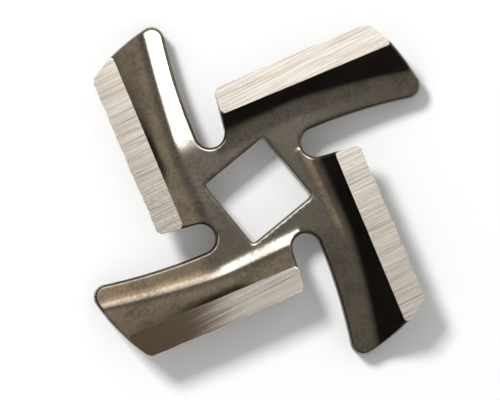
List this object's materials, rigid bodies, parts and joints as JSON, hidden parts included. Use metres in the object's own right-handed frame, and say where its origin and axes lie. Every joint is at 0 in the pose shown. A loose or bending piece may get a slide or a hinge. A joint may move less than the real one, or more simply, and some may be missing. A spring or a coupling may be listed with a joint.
{
  "type": "meat grinder knife",
  "caption": "Flat steel knife with swept arms round a square drive hole. Each arm's leading side is bent up and ground off level to cut against a grinder's hole plate.",
  "frame": {"origin": "on the axis of the drive hole, at the height of the knife's lowest points, under the tips of its arms", "axes": "+Z along the axis of the drive hole towards the ground lands; +X and +Y along the sides of the square hole"},
  "size_m": [0.047, 0.047, 0.0058],
  "materials": {
    "knife": "tumbled and polished stainless sheet with level ground lands"
  },
  "bodies": {
    "root": {"knife": "knife"}
  },
  "joints": []
}
